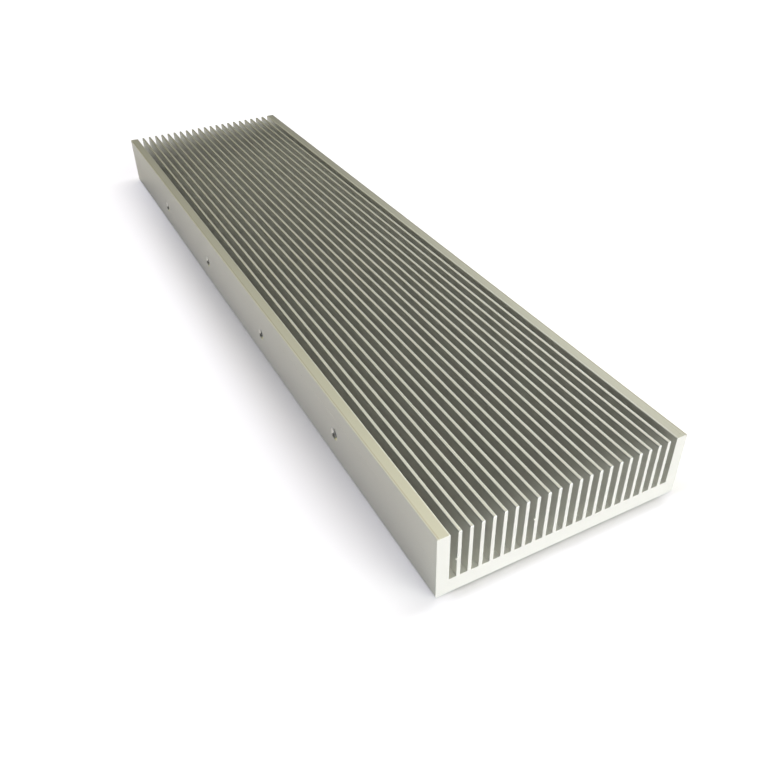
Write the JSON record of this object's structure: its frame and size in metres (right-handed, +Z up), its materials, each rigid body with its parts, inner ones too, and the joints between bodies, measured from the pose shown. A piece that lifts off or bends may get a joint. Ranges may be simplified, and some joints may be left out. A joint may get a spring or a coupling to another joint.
{
  "type": "extruded heat sink",
  "caption": "Long aluminium heat sink: a flat base with a thick wall on each side, straight upright fins between them and tapped holes in the side walls.",
  "frame": {"origin": "middle of the base's underside", "axes": "+Y along the channels, +Z up from the base towards the fin tips, +X across the fins"},
  "size_m": [0.1, 0.394, 0.027],
  "materials": {
    "mill_aluminium": "mill-finish extruded aluminium, fine die lines along its length, saw-cut ends"
  },
  "bodies": {
    "root": {"heat_sink": "mill_aluminium"}
  },
  "joints": []
}
